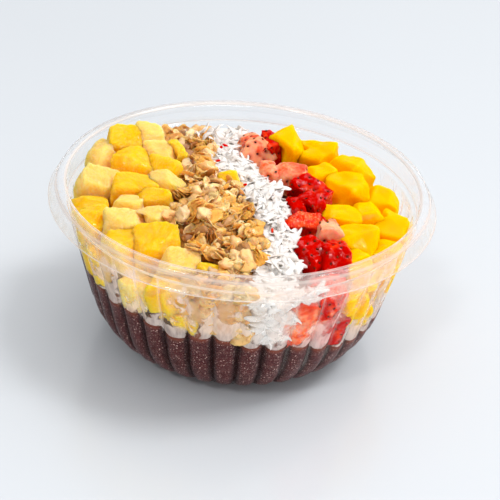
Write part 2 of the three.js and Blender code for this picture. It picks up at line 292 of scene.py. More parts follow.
def glow_through(shader, weight, depth):
    """Lets light through a piece by about a depth in millimetres for red, green and blue."""
    feed(shader, {"Subsurface Weight": weight, "Subsurface Scale": MM, "Subsurface Radius": depth})


def wet_patches(shader, where, size, least, most):
    """A coat of juice that is thick in patches of about a size in millimetres."""
    patches = spread(grain(where, size, detail=2), 0.5, 0.64, least, most)
    feed(shader, {"Coat Weight": patches})


def blend(part, a, b):
    """Mixes two colours. The part is that of the second."""
    tree = next(v for v in (part, a, b) if isinstance(v, bpy.types.NodeSocket)).id_data
    return node(tree, "Mix", {0: part, 6: a, 7: b}, data_type="RGBA").outputs[2]


def coats(base, *layers):
    """Lays colours over a base, each as (value, low, high, most, colour).

    A colour is absent where the value is low, and covers by its most where the value is high.
    """
    for value, low, high, most, over in layers:
        over = colour(over) if isinstance(over, str) else over
        base = blend(spread(value, low, high, 0, most), base, over)
    return base


def join_looks(part, a, b):
    """Mixes two shaders. The part is that of the second."""
    return node(a.id_data, "MixShader", {0: part, 1: a, 2: b}).outputs[0]


def spread(value, low, high, to_low=0.0, to_high=1.0):
    """A value moved from one range to another."""
    keys = ("Value", "From Min", "From Max", "To Min", "To Max")
    inputs = dict(zip(keys, (value, low, high, to_low, to_high)))
    return node(value.id_data, "MapRange", inputs, clamp=True).outputs[0]


def grain(where, size, detail=3.0, roughness=0.55):
    """Noise with lumps of about the given size in millimetres, from 0 to 1."""
    inputs = {"Vector": where, "Scale": 1 / (size * MM), "Detail": detail, "Roughness": roughness}
    return node(where.id_data, "TexNoise", inputs).outputs["Fac"]


def stretch(where, x=1, y=1, z=1):
    """Places scaled along each axis, so that a grain on them is drawn out by the inverse."""
    return node(where.id_data, "Mapping", {"Vector": where, "Scale": (x, y, z)}).outputs[0]


def bump(height, distance, after=None):
    """Relief of a height in millimetres, on top of another relief where one is given."""
    inputs = {"Height": height, "Distance": distance * MM, "Strength": 1.0}
    if after:
        inputs["Normal"] = after
    return node(height.id_data, "Bump", inputs).outputs[0]


def reach(tree, name, kind="Fac"):
    """A value stored on the piece itself."""
    return node(tree, "Attribute", attribute_name=name, attribute_type="GEOMETRY").outputs[kind]


def object_place(tree):
    """Each point's place on the bowl, in metres."""
    return node(tree, "TexCoord").outputs["Object"]


def axes(vector):
    """A vector's three parts."""
    return node(vector.id_data, "SeparateXYZ", {0: vector}).outputs


def from_axis(where):
    """Distance from the bowl's axis, in metres."""
    flat = {0: where, 1: (1, 1, 0)}
    flat = node(where.id_data, "VectorMath", flat, operation="MULTIPLY").outputs[0]
    return node(where.id_data, "VectorMath", {0: flat}, operation="LENGTH").outputs["Value"]


def ridges(tree):
    """Over a half on ridges, and under it in dents."""
    return node(tree, "NewGeometry").outputs["Pointiness"]


def looks_up(tree):
    """1 on faces that look up and 0 on upright ones."""
    return axes(node(tree, "NewGeometry").outputs["Normal"])[2]


def maths(operation, first, *others):
    """Joins numbers from left to right by one operation."""
    for other in others:
        first = node(first.id_data, "Math", {0: first, 1: other}, operation=operation).outputs[0]
    return first


times, plus, largest = (partial(maths, kind) for kind in ("MULTIPLY", "ADD", "MAXIMUM"))


# ---------- Settings ----------


def length(default, name, description):
    return bpy.props.FloatProperty(
        name=name, description=description, default=default, min=0.0, unit="LENGTH", precision=5
    )


def tint(code, name, description):
    return bpy.props.FloatVectorProperty(
        name=name, description=description, default=colour(code)[:3], subtype="COLOR", min=0, max=1
    )


def count(default, name, description):
    return bpy.props.IntProperty(name=name, description=description, default=default, min=0)


def share(default, name, description):
    return bpy.props.FloatProperty(
        name=name, description=description, default=default, min=0.0, max=1.0, subtype="FACTOR"
    )


class ShellSettings(bpy.types.PropertyGroup):
    """The clear bowl."""

    flutes: count(40, "Flutes", "How many flutes stand round the wall")
    flute_depth: length(0.0014, "Flute depth", "How far a flute stands out of its creases")
    crease_cut: length(0.0010, "Crease cut", "How much deeper the creases are near the foot")
    wall: length(0.0005, "Wall", "Thickness of the plastic")
    mist: share(0.42, "Mist", "How much dew hides what doesn't touch the wall")


class PulpSettings(bpy.types.PropertyGroup):
    """The acai."""

    body: tint("#401415", "Acai", "Colour of the frozen pulp")
    edge: tint("#7a3a26", "Melted edge", "Colour of the thin edge at its top")


class FruitSettings(bpy.types.PropertyGroup):
    """The cut fruit."""

    voxel: length(0.0005, "Fineness", "Size of the grid that the chunks are made on")
    pineapple_pale: tint("#ffd284", "Pale pineapple", "Colour of the palest pineapple")
    pineapple_deep: tint("#ffb800", "Deep pineapple", "Colour of the ripest pineapple")
    mango: tint("#ffa600", "Mango", "Colour of the mango")
    skin: tint("#bc0400", "Strawberry skin", "Colour of the ripe skin")
    flesh: tint("#f2673c", "Strawberry flesh", "Colour of the cut flesh")
    seeds: length(0.0032, "Seed spacing", "Distance from one strawberry seed to the next")


class GranolaSettings(bpy.types.PropertyGroup):
    """The baked oats and puffed grain."""

    flakes: count(480, "Flakes", "How many oat flakes lie on the row")
    stacks: count(240, "Stacks", "How many stacks of flakes lie on the row")
    puffs: count(110, "Puffs", "How many puffed grains lie on the row")
    crumbs: count(560, "Crumbs", "How many crumbs lie between them")
    colour: tint("#f0ac4c", "Granola", "Colour of the baked oats")


class CoconutSettings(bpy.types.PropertyGroup):
    """The shredded coconut."""

    shreds: count(2100, "Shreds", "How many shreds lie on the row")
    colour: tint("#e8e2dc", "Coconut", "Colour of the shreds")


class StageSettings(bpy.types.PropertyGroup):
    """Floor, light and camera."""

    floor: tint("#c8ccd0", "Floor", "Colour of the floor")
    sky: bpy.props.FloatProperty(
        name="Sky", description="Strength of the light from above", default=1.5, min=0
    )
    key: bpy.props.FloatProperty(
        name="Key light", description="Power of the main lamp", default=36, min=0, unit="POWER"
    )


def group(kind, name, description):
    return bpy.props.PointerProperty(type=kind, name=name, description=description)


class AcaiBowlSettings(bpy.types.PropertyGroup):
    """Everything that a user may change."""

    shell: group(ShellSettings, "Bowl", "The clear bowl")
    pulp: group(PulpSettings, "Acai", "The acai")
    fruit: group(FruitSettings, "Fruit", "The cut fruit")
    granola: group(GranolaSettings, "Granola", "The granola")
    coconut: group(CoconutSettings, "Coconut", "The coconut")
    stage: group(StageSettings, "Stage", "Floor and light")


def settings():
    """What the user has chosen."""
    return bpy.context.scene.acai_bowl


# ---------- The bowl ----------


def flute_at(angle):
    """The number of the flute at an angle, and how far across it: -1 and 1 in its creases."""
    turn = (angle - FLUTE_TURN) / (2 * math.pi) * settings().shell.flutes
    number = math.floor(turn + 1e-4)
    return number, 2 * (turn - number) - 1


def lobe(angle, height):
    """How far the wall stands out of its creases, at an angle and a height."""
    shell = settings().shell
    if not WALL_BOTTOM - 1.5 < height < WALL_TOP:
        return 0.0
    width = 1.0
    if height > TENT_START:
        width = 1 - ((height - TENT_START) / (WALL_TOP - TENT_START)) ** 1.4
    across = min(1.0, abs(flute_at(angle)[1]) / max(width, 0.02))
    edge = math.sqrt(1 - FLUTE_ROUND)
    bow = (math.sqrt(1 - FLUTE_ROUND * across * across) - edge) / (1 - edge)
    start = ease(WALL_BOTTOM - 1.5, WALL_BOTTOM + 1.5, height)
    low = 1 - ease(24.0, 50.0, height)
    cut = shell.crease_cut / MM * start * low * (1 - bow)
    return shell.flute_depth / MM * start * bow * (0.35 + 0.65 * width) - cut


def wall_radius(angle, height):
    """Radius of the outside of the wall."""
    return along(CREASE_LINE, height) + lobe(angle, height)


def from_crease(angle):
    """How far round a flute an angle is: 0 in its creases and 1 at its middle."""
    return 1 - abs(flute_at(angle)[1])


class ShellOperator(bpy.types.Operator):
    """Builds the clear fluted bowl with its ledge, band and turned-down rim"""

    bl_idname = "acai_bowl.shell"
    bl_label = "Bowl"

    def execute(self, context):
        shell = settings().shell
        heights = [h for h, _ in CREASE_LINE if 2 < h < 20] + list(range(20, int(TENT_START)))
        heights += [TENT_START + 0.74 * i for i in range(11)]

        def place(ring, angle):
            if ring < len(BASE_LINE):
                return BASE_LINE[ring]
            ring -= len(BASE_LINE)
            if ring < len(heights):
                return wall_radius(angle, heights[ring]), heights[ring]
            return RIM_LINE[ring - len(heights)]

        rings = len(BASE_LINE) + len(heights) + len(RIM_LINE)
        bm = lathe(rings, shell.flutes * SHELL_STEPS, place, open_top=True)
        for edge in bm.edges:
            a, b = (v.co for v in edge.verts)
            on_wall = 3 < min(a.z, b.z) and max(a.z, b.z) < TENT_START + 1 and a.xy.length < 67
            in_crease = abs(a.z - b.z) > 0.3 and from_crease(bearing(a)) < 0.04
            if on_wall and in_crease and a.y < 25:
                edge.smooth = False
        mark_shell(bm)
        outside, inside = clear_plastic(), misted_plastic()
        piece = finish(bm, "clear_bowl", outside, ["bowl"], inside)
        wall = piece.modifiers.new("Wall", "SOLIDIFY")
        wall.thickness = shell.wall
        wall.offset = -1
        wall.material_offset = 1
        return {"FINISHED"}


def nearest_piece(at, trees):
    """Distance to the nearest chunk or heap, up to where the search ends."""
    nearest = SEARCH_END
    for tree, low, high in trees:
        if all(low[k] - nearest * MM < at[k] * MM < high[k] + nearest * MM for k in range(3)):
            _, _, _, apart = tree.find_nearest(at * MM, nearest * MM)
            if apart is not None:
                nearest = min(nearest, apart / MM)
    return nearest


def mark_shell(bm):
    """Stores painted highlights on the plastic's edges and creases, where fruit touches it, and a
    film of juice.
    """
    bright, film, touch, gap = marks(bm, "bright_edge", "film", "touch", "gap")
    fruit, heaps = search_trees("cut_"), search_trees("granola_core", "coconut_core")
    for v in bm.verts:
        radius, height, angle = v.co.xy.length, v.co.z, bearing(v.co)
        # Painted highlights along the rim, the ledge and the flange.
        for at, level, strength in PAINTED_HIGHLIGHTS:
            apart = math.hypot(radius - at, height - level)
            v[bright] = max(v[bright], strength * math.exp(-((apart / 0.45) ** 2)))
        if WALL_BOTTOM < height < WALL_TOP and radius < 67.5:
            # Painted highlights along the creases: on the right side, where the light falls, and
            # above the acai, in front.
            crease = 0.6 * math.exp(-((from_crease(angle) / 0.11) ** 2))
            lit_side = ease(-80, -60, math.degrees(angle)) * ease(8, 18, height)
            above_pulp = ease(-1.0, 1.0, height - pulp_height(angle))
            patchy = 0.75 + 0.5 * wobble(v.co, 7.0, 3)
            in_front = ease(45, 10, v.co.y)
            v[bright] = max(v[bright], crease * patchy * max(lit_side, above_pulp) * in_front)
        v[film] = film_at(angle, height)
        if 15 < height < FLUTES_END and radius > 55:
            apart = nearest_piece(v.co, fruit)
            v[touch] = ease(1.15, 0.6, apart)
            v[gap] = ease(1.8, 5.0, min(apart, nearest_piece(v.co, heaps)))


def film_at(angle, height):
    """Share of the wall that a pale film covers, from 0 to 1."""
    rise = height - pulp_height(angle)
    if rise < -1.5 or height > RIM_HEIGHT:
        return 0.0
    tent = 7.5 + 7.5 * (1 - from_crease(angle)) ** 2.5
    low = ease(-1.0, 0.6, rise) * (1 - 0.7 * ease(0.5 * tent, 1.8 * tent, rise))
    return low * (1 - 0.75 * ease(WALL_TOP - 5, LEDGE, height))


def see_through(material, surface):
    """Lets light from lamps and from what lies inside pass the plastic unbent.

    The far edge of the flange is thin and shows almost nothing.
    """
    tree = material.node_tree
    path = node(tree, "LightPath").outputs
    where = object_place(tree)
    far = times(
        spread(from_axis(where), 0.0735, 0.0745, 0, 0.85), spread(axes(where)[1], -0.01, 0.02)
    )
    clear = node(tree, "BsdfTransparent", {"Color": (0.97, 0.97, 0.97, 1)}).outputs[0]
    unbent = largest(path["Is Shadow Ray"], path["Is Diffuse Ray"], far)
    feed(tree.nodes["Material Output"], {"Surface": join_looks(unbent, surface, clear)})


def pale_plastic(tree, shade):
    """What an edge or a film looks like where light scatters in it."""
    dew = node(tree, "BsdfTranslucent", {"Color": shade}).outputs[0]
    white = node(tree, "BsdfDiffuse", {"Color": shade}).outputs[0]
    wet = node(tree, "BsdfAnisotropic", {"Color": (1, 1, 1, 1), "Roughness": 0.18}).outputs[0]
    return join_looks(0.05, join_looks(0.5, dew, white), wet)


def new_plastic(name, roughness, gloss, gloss_roughness):
    """Clear plastic thin enough to bend no light, with a gloss of its own."""
    return new_finish(
        name, Base_Color=(1, 1, 1, 1), Roughness=roughness, IOR=1.02, Transmission_Weight=1.0,
        Coat_Weight=gloss, Coat_Roughness=gloss_roughness, Coat_IOR=1.46,
    )


def clear_plastic():
    """The outside of the bowl: clear, with pale edges painted as highlights that are faint at the
    back.
    """
    material, tree, shader = new_plastic("clear_plastic", 0.02, 0.25, 0.04)
    where = object_place(tree)
    feed(shader, {"Coat Normal": bump(grain(where, 9, detail=1.5), 0.08)})
    # Painted highlights on the edges, fainter at the back.
    edge = times(reach(tree, "bright_edge"), spread(axes(where)[1], -0.02, 0.02, 0.8, 0.15))
    pale = pale_plastic(tree, colour("#fff6ee"))
    see_through(material, join_looks(edge, shader.outputs[0], pale))
    return material


def misted_plastic():
    """The inside of the bowl: clear plastic with dew and a pale film above the acai, painted
    highlights on its edges, and a tint partly painted from the light through the fruit.
    """
    material, tree, shader = new_plastic("misted_plastic", 0.06, 0.22, 0.05)
    where = object_place(tree)
    across, side, height = axes(where)
    gap, bright = reach(tree, "gap"), reach(tree, "bright_edge")
    clouds = grain(where, 5, detail=3, roughness=0.5)
    in_front = largest(spread(side, 0.040, -0.03, 0.03, 1.0), spread(height, 0.050, 0.044))

    film = plus(
        reach(tree, "film"),
        spread(clouds, 0.25, 0.75, -0.9, 0.3),
        spread(grain(where, 1.3, detail=2), 0.2, 0.8, -0.12, 0.12),
        times(gap, 0.3),
    )
    thick = spread(grain(stretch(where, z=0.25), 2.2, detail=3), 0.32, 0.6, 0.6, 1.0)
    film = times(spread(film, 0.28, 0.56), thick, in_front)

    # The mist is thickest before the strawberries and thin before the mango.
    over_pulp = spread(height, 0.020, 0.036)
    mist = times(
        over_pulp,
        spread(height, 0.0585, 0.067, 1.0, 0.45),
        spread(clouds, 0.35, 0.7, 0.25, 1.0),
        in_front,
        spread(across, 0.008, 0.018, 1, 1.4),
        spread(across, 0.03, 0.04, 1, 0.75),
        settings().shell.mist,
    )
    hollow = times(gap, spread(clouds, 0.3, 0.7, 0.55, 0.92), over_pulp, in_front)
    clear = spread(reach(tree, "touch"), 0.2, 0.9, 1, 0.12)
    # The mask also takes in the painted highlights on the edges and creases.
    mask = largest(times(largest(film, mist, hollow), clear), bright)

    # Tint after the fruit behind the film: partly the colour of its juice, partly painted light
    # that comes through the fruit.
    juice = coats(
        colour("#ffe8ac"),
        (across, -0.03, -0.005, 1, "#ffecd0"),
        (across, 0.005, 0.025, 1, "#ffdcd0"),
        (across, 0.035, 0.05, 1, "#fff0c8"),
    )
    white = largest(
        spread(film, 0.0, 0.6), spread(bright, 0.0, 0.3), spread(height, 0.062, 0.067)
    )
    pale = pale_plastic(tree, blend(white, juice, colour("#faf0e8")))
    see_through(material, join_looks(mask, shader.outputs[0], pale))
    return material


# ---------- The acai ----------


def pulp_height(angle):
    """Height of the acai at the wall. It stands a little higher in some flutes than in others."""
    flutes = settings().shell.flutes
    flute, across = flute_at(angle)
    degrees = in_degrees(FLUTE_TURN + (flute + 0.5) / flutes * 2 * math.pi)
    step = random.Random(flute % flutes + 5).uniform(-0.9, 0.9)
    round_edge = (0.7 + 1.1 * ease(-110, -80, degrees)) * across * across
    grit = 0.35 * wobble(Vector((math.cos(angle), math.sin(angle), 0)) * 60, 1.4)
    return along(PULP_LINE, degrees) + step + round_edge + grit


class PulpOperator(bpy.types.Operator):
    """Builds the acai, which fills the flutes and rises under the toppings"""

    bl_idname = "acai_bowl.pulp"
    bl_label = "Acai"

    def execute(self, context):
        foot = ((0, 0.4), (14, 0.4), (30, 0.4), (40.4, 0.4))
        side = 26
        # From the wall inwards, as (radius, rise over the height at the wall).
        top = ((56.5, 1.2), (54, 3.5), (50, 9), (44, 15), (30, 18), (14, 19), (0, 19))

        def place(ring, angle):
            if ring < len(foot):
                return foot[ring]
            ring -= len(foot)
            edge = pulp_height(angle)
            if ring < side:
                height = 0.75 + (edge - 0.75) * (ring / (side - 1)) ** 0.9
                return wall_radius(angle, height) - PULP_IN_WALL, height
            radius, rise = top[ring - side]
            if radius < 55:
                smooth = along(PULP_LINE, in_degrees(angle))
                at = Vector((radius * math.cos(angle), radius * math.sin(angle), 0))
                edge = smooth + wobble(at, 7.0, 4) + 0.5 * wobble(at, 2.5, 5)
                rise = min(rise, PULP_TOP - smooth)
            return radius, edge + rise

        flutes = settings().shell.flutes
        bm = lathe(len(foot) + side + len(top), flutes * PULP_STEPS, place)
        melt, crease = marks(bm, "melt", "crease")
        for v in bm.verts:
            angle = bearing(v.co)
            # Painted shade: marks the creases between the flutes to be darkened.
            v[crease] = 1 - ease(0.05, 0.55, from_crease(angle)) if v.co.xy.length > 42 else 0.0
            v[melt] = ease(-2.6, -0.2, v.co.z - pulp_height(angle))
        finish(bm, "acai_pulp", pulp_finish(), ["acai"])
        return {"FINISHED"}


def pulp_finish():
    """Frozen acai: dark, fine-grained, with pale ice specks, a thin melted edge and painted shade
    in its creases.
    """
    pulp = settings().pulp
    material, tree, shader = new_finish(
        "frozen_acai", Roughness=0.5, IOR=1.35, Specular_IOR_Level=0.2
    )
    glow_through(shader, 0.1, (1.5, 0.5, 0.5))
    where = object_place(tree)
    clouds = grain(where, 5, detail=4)
    fine = grain(where, 0.6, detail=2)
    base = coats(
        (*pulp.body, 1),
        (clouds, 0.35, 0.7, 1, "#502223"),
        (fine, 0.55, 0.72, 0.5, "#84504c"),
        (fine, 0.46, 0.28, 0.8, "#220b0c"),
    )
    for size, strength in ((0.45, 0.5), (0.7, 0.7), (1.1, 0.9)):
        dots = node(tree, "TexVoronoi", {"Vector": where, "Scale": 1 / (size * MM)}).outputs
        some = spread(axes(dots["Color"])[0], 0.42, 0.95, 0, strength)
        base = blend(times(spread(dots["Distance"], 0.3, 0.15), some), base, colour("#f0c8bc"))
    # A thin melted edge at the top, and painted shade in the creases.
    base = coats(
        base,
        (reach(tree, "melt"), 0, 1, 0.75, (*pulp.edge, 1)),
        (reach(tree, "crease"), 0, 1, 0.95, "#140404"),
    )
    feed(shader, {"Base Color": base, "Normal": bump(clouds, 0.8, after=bump(fine, 0.15))})
    return material


# ---------- Cut fruit ----------


def new_juicy(name, roughness, gloss_roughness, weight, depth):
    """A finish that only its juice makes glossy, and each point's own place on its chunk."""
    material, tree, shader = new_finish(
        name, Roughness=roughness, Specular_IOR_Level=0.0, Coat_Roughness=gloss_roughness
    )
    glow_through(shader, weight, depth)
    return material, tree, shader, reach(tree, "own_place", "Vector")


def slice_off(bm, at, way):
    """Cuts off what lies past a point along a way, and closes the cut."""
    everything = bm.verts[:] + bm.edges[:] + bm.faces[:]
    bmesh.ops.bisect_plane(bm, geom=everything, plane_co=at, plane_no=way, clear_outer=True)
    bmesh.ops.holes_fill(bm, edges=[e for e in bm.edges if e.is_boundary], sides=0)


def trim_corners(bm, cuts, rng):
    """Slices corners and edges off, as a knife does."""
    middle = middle_of(bm)
    for _ in range(cuts):
        way = Vector([rng.choice((-1, 1)) * rng.uniform(0.35, 1) for _ in range(3)])
        way[rng.randrange(3)] *= rng.choice((0.1, 1))
        way.z = abs(way.z) if rng.random() < 0.75 else way.z
        way.normalize()
        far = max((v.co - middle).dot(way) for v in bm.verts)
        slice_off(bm, middle + way * far * rng.uniform(0.62, 0.82), way)


def askew(bm, rng):
    """Turns a chunk a little where it lies, and makes up for what was cut off."""
    middle = middle_of(bm)
    axis = random_way(rng)
    turn = Matrix.Rotation(math.radians(rng.uniform(6, 15)), 3, axis)
    bmesh.ops.rotate(bm, verts=bm.verts, cent=middle, matrix=turn)
    bmesh.ops.scale(bm, verts=bm.verts, vec=(1.13, 1.13, 1.1), space=Matrix.Translation(-middle))
    bmesh.ops.translate(bm, verts=bm.verts, vec=(0, 0, rng.uniform(-1.3, 1.0) * MM))


def halves(bm, at, way):
    """Two solids from one, cut at a share of its reach along a way."""
    way = Vector(way).normalized()
    reaches = [v.co.dot(way) for v in bm.verts]
    plane = way * (min(reaches) + (max(reaches) - min(reaches)) * at)
    parts = [bm.copy(), bm.copy()]
    for part, side in zip(parts, (-1, 1)):
        slice_off(part, plane + way * side * HALF_GAP * MM, way * -side)
    bm.free()
    return parts


def soft_mesh(name, voxel, rounding, grow, cuts=0, split=None):
    """A node's solid as a fine, rounded bmesh in millimetres."""
    bm = bmesh.new()
    bm.from_mesh(frame["nodes"][name].data)
    bmesh.ops.remove_doubles(bm, verts=bm.verts, dist=1e-5)
    if cuts:
        rng = random.Random(name)
        parts = halves(bm, *split) if split else [bm]
        bm = bmesh.new()
        for part in parts:
            trim_corners(part, cuts, rng)
            askew(part, rng)
            mesh = as_mesh(part)
            bm.from_mesh(mesh)
            bpy.data.meshes.remove(mesh)
    rough = as_mesh(bm)
    carrier = bpy.data.objects.new("carrier", rough)
    bpy.context.scene.collection.objects.link(carrier)
    remesh = carrier.modifiers.new("Remesh", "REMESH")
    remesh.mode = "VOXEL"
    remesh.voxel_size = voxel
    seen = carrier.evaluated_get(bpy.context.evaluated_depsgraph_get())
    fine = bmesh.new()
    fine.from_mesh(seen.to_mesh())
    seen.to_mesh_clear()
    bpy.data.objects.remove(carrier)
    bpy.data.meshes.remove(rough)
    bmesh.ops.scale(fine, vec=(1 / MM, 1 / MM, 1 / MM), verts=fine.verts)
    for _ in range(rounding):
        bmesh.ops.smooth_vert(
            fine, verts=fine.verts, factor=0.5, use_axis_x=True, use_axis_y=True, use_axis_z=True
        )
    fine.normal_update()
    for v, n in [(v, v.normal.copy()) for v in fine.verts]:
        v.co += n * grow
    return fine


def press_to_wall(bm, softness, seed):
    """Presses what lies close to the wall into its flutes, in patches."""
    for v in bm.verts:
        height = v.co.z
        if not 5 < height < FLUTES_END:
            continue
        radius = v.co.xy.length
        gap = along(CREASE_LINE, height) - 1.05 - radius
        if gap > softness:
            continue
        angle = bearing(v.co)
        patch = ease(-0.25, 0.25, wobble(v.co, 6.0, seed) + 0.12)
        push = (1 - max(gap, 0) / softness) ** 2 * (0.72 + 0.9 * lobe(angle, height)) * patch
        limit = wall_radius(angle, height) - CHUNK_CLEARANCE
        v.co.xy *= min(radius + push, limit) / radius


def keep_inside(bm):
    """Holds every point just within the wall and the band."""
    for v in bm.verts:
        limit = BAND_INSIDE
        if v.co.z < WALL_TOP:
            limit = wall_radius(bearing(v.co), v.co.z) - CHUNK_CLEARANCE
        if v.co.xy.length > limit:
            v.co.xy *= limit / v.co.xy.length


def sink_to_pulp(bm):
    """Draws what ends just over the acai at the wall down to it."""
    for v in bm.verts:
        near = ease(9.0, 3.0, along(CREASE_LINE, v.co.z) - v.co.xy.length)
        if near > 0:
            rise = v.co.z - pulp_height(bearing(v.co))
            v.co.z -= 2.6 * near * ease(9.0, 1.0, rise) * ease(-6.0, 0.0, rise)


def rumple(bm, centre, lumps, turn):
    """Moves each point along its normal by noise in the piece's own turned frame."""
    bm.normal_update()
    moves = []
    for v in bm.verts:
        own = turn @ (v.co - centre)
        amount = sum(
            depth * wobble(Vector((own.x / stretch, own.y, own.z)), size, seed)
            for seed, (size, depth, stretch) in enumerate(lumps)
        )
        moves.append(v.normal * amount)
    for v, move in zip(bm.verts, moves):
        v.co += move


def own_place(bm, centre, turn):
    """Stores each point's place in the piece's own turned frame, in metres."""
    layer = bm.verts.layers.float_vector.new("own_place")
    for v in bm.verts:
        v[layer] = (turn @ (v.co - centre)) * MM + Vector((centre.y, centre.z, centre.x)) * MM


def spin(rng, low, high, axis):
    """A rotation by a random angle about one of the main axes."""
    return Matrix.Rotation(rng.uniform(low, high), 4, axis)


def random_way(rng):
    """A random direction."""
    return Vector([rng.uniform(-1, 1) for _ in range(3)]).normalized()


def random_turn(rng):
    """A random rotation."""
    axis = random_way(rng)
    return Matrix.Rotation(rng.uniform(0, math.pi), 3, axis)


def cut_piece(seed, name, cuts, lumps, rounding, grow, material, extra=None):
    """One chunk of fruit in place of its node, or two where it was cut through."""
    rng = random.Random(1000 + seed)
    bm = soft_mesh(name, settings().fruit.voxel, rounding, grow, cuts, CUT_THROUGH.get(name))
    low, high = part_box(name)
    centre = (low + high) / 2 / MM
    turn = random_turn(rng)
    rumple(bm, centre, lumps, turn)
    sink_to_pulp(bm)
    press_to_wall(bm, 3.6, seed)
    keep_inside(bm)
    own_place(bm, centre, turn)
    if extra:
        extra(bm, rng)
    bmesh.ops.triangulate(bm, faces=bm.faces)
    return finish(bm, "cut_" + name, material, [name])


# Chunks that are cut through: at what share of their reach, and across what way.
CUT_THROUGH = {
    "strawberry_03": (0.42, (1, 0.1, 0.1)),
    "strawberry_05": (0.5, (0.8, 0.5, 0.2)),
}


def nodes_of(kind):
    """The names of a fruit's nodes."""
    return sorted(n for n in frame["nodes"] if n.startswith(kind + "_"))


def slot_of(name):
    """The material slot that the record gives a node."""
    return next(s["material_slot"] for s in frame["record"]["subparts"] if s["node"] == name)


class PineappleOperator(bpy.types.Operator):
    """Builds the wet, fibrous chunks of pineapple"""

    bl_idname = "acai_bowl.pineapple"
    bl_label = "Pineapple"

    def execute(self, context):
        lumps = ((8.0, 0.7, 1.0), (2.2, 0.4, 1.6), (1.0, 0.22, 2.0))
        finishes = {
            "pineapple_pale": pineapple_finish("pale_pineapple", 0.2, (9.0, 10.5, 3.5)),
            "pineapple_deep": pineapple_finish("ripe_pineapple", 1.05, (8.0, 9.0, 0.7)),
        }
        for index, name in enumerate(nodes_of("pineapple")):
            slot = slot_of(name)
            cut_piece(index, name, 3, lumps, 2, 0.15, finishes[slot])
        return {"FINISHED"}


def pineapple_finish(name, ripeness, depth):
    """Wet pineapple: see-through yellow with long fibres; painted highlights on its ridges,
    painted shade in its dents, and upper sides painted darker against the light from above.
    """
    fruit = settings().fruit
    material, tree, shader, own = new_juicy(name, 0.3, 0.06, 1.0, depth)
    fibres = grain(stretch(own, x=0.3), 0.8, detail=3)
    clouds = grain(own, 7, detail=3)
    tone = spread(clouds, 0.3, 0.7, max(0, ripeness - 0.3), min(1, ripeness + 0.25))
    # Painted light: ridges paler as highlights, dents deeper orange as shade, and upper faces
    # darker to even out the light from above.
    painted_ridge_light = ridges(tree)
    base = coats(
        blend(tone, (*fruit.pineapple_pale, 1), (*fruit.pineapple_deep, 1)),
        (painted_ridge_light, 0.49, 0.42, 0.3, "#ffbc20"),
        (painted_ridge_light, 0.51, 0.58, max(0.15, 0.5 - 0.5 * ripeness), "#ffdc90"),
        (fibres, 0.52, 0.66, 0.4, "#ffb418"),
        (fibres, 0.47, 0.34, max(0.18, 0.6 - 0.4 * ripeness), "#fdd6a0"),
        (looks_up(tree), 0.2, 0.9, 0.55, "#e0a84a" if ripeness < 0.5 else "#e09800"),
    )
    relief = bump(clouds, 0.6, after=bump(fibres, 0.4))
    rough = spread(clouds, 0.3, 0.7, 0.18, 0.42)
    feed(shader, {"Base Color": base, "Normal": relief, "Roughness": rough})
    wet_patches(shader, own, 1.6, 0.02, 0.6)
    return material


class MangoOperator(bpy.types.Operator):
    """Builds the smooth chunks of mango"""

    bl_idname = "acai_bowl.mango"
    bl_label = "Mango"

    def execute(self, context):
        lumps = ((6.0, 0.85, 1.0), (2.8, 0.28, 2.0), (1.0, 0.06, 2.0))
        ripe = mango_finish()
        for index, name in enumerate(nodes_of("mango")):
            cut_piece(index + 40, name, 2, lumps, 4, 0.25, ripe)
        return {"FINISHED"}


def mango_finish():
    """Ripe mango: smooth and deep yellow with a wet sheen; its dents have painted shade and its
    upper faces are painted darker against the light from above.
    """
    material, tree, shader, own = new_juicy("ripe_mango", 0.36, 0.08, 0.9, (8.0, 6.0, 0.4))
    fibres = grain(stretch(own, x=0.2), 0.8, detail=2)
    # Painted light: dents deeper orange as shade, and upper faces darker to even out the light
    # from above.
    base = coats(
        (*settings().fruit.mango, 1),
        (grain(own, 8, detail=2), 0.3, 0.7, 1, "#ffb400"),
        (ridges(tree), 0.49, 0.42, 0.35, "#fc9c00"),
        (fibres, 0.55, 0.75, 0.25, "#fc9a00"),
        (looks_up(tree), 0.2, 0.9, 0.5, "#eea800"),
    )
    feed(shader, {"Base Color": base, "Normal": bump(fibres, 0.1)})
    wet_patches(shader, own, 4, 0.04, 0.25)
    return material


# Each strawberry's ripeness, from 0 to 1, and the way its cut face looks.
STRAWBERRIES = (
    (-0.05, (0.9, -0.2, -0.4)), (1.0, (0, 1, 0)), (0.2, (-0.6, 0.1, 0.8)), (1.1, (1, 0, 0.2)),
    (1.2, (0, 1, -0.2)), (0.9, (0, -0.35, 0.9)), (-0.2, (0, -0.6, 0.8)), (1.3, (0, 1, 0)),
    (1.2, (0.9, 0.2, 0.3)), (0.7, (0, 1, 0.2)), (0.4, (0.3, -0.9, 0)), (1.0, (0, 1, 0)),
    (0.9, (1, 0, 0)),
)


class StrawberryOperator(bpy.types.Operator):
    """Builds the cut strawberries and their seeds"""

    bl_idname = "acai_bowl.strawberry"
    bl_label = "Strawberry"

    def execute(self, context):
        lumps = ((7.0, 0.8, 1.0), (2.4, 0.4, 1.0), (1.1, 0.12, 1.0))
        berry = strawberry_finish()
        seeds = []
        for index, name in enumerate(nodes_of("strawberry")):
            ripeness, cut = STRAWBERRIES[index]
            skin = partial(mark_skin, ripeness=ripeness, cut=Vector(cut).normalized(), seeds=seeds)
            cut_piece(index + 80, name, 2, lumps, 2, 0.1, berry, skin)
        scatter_seeds(seeds)
        scatter_crumbs(berry)
        return {"FINISHED"}


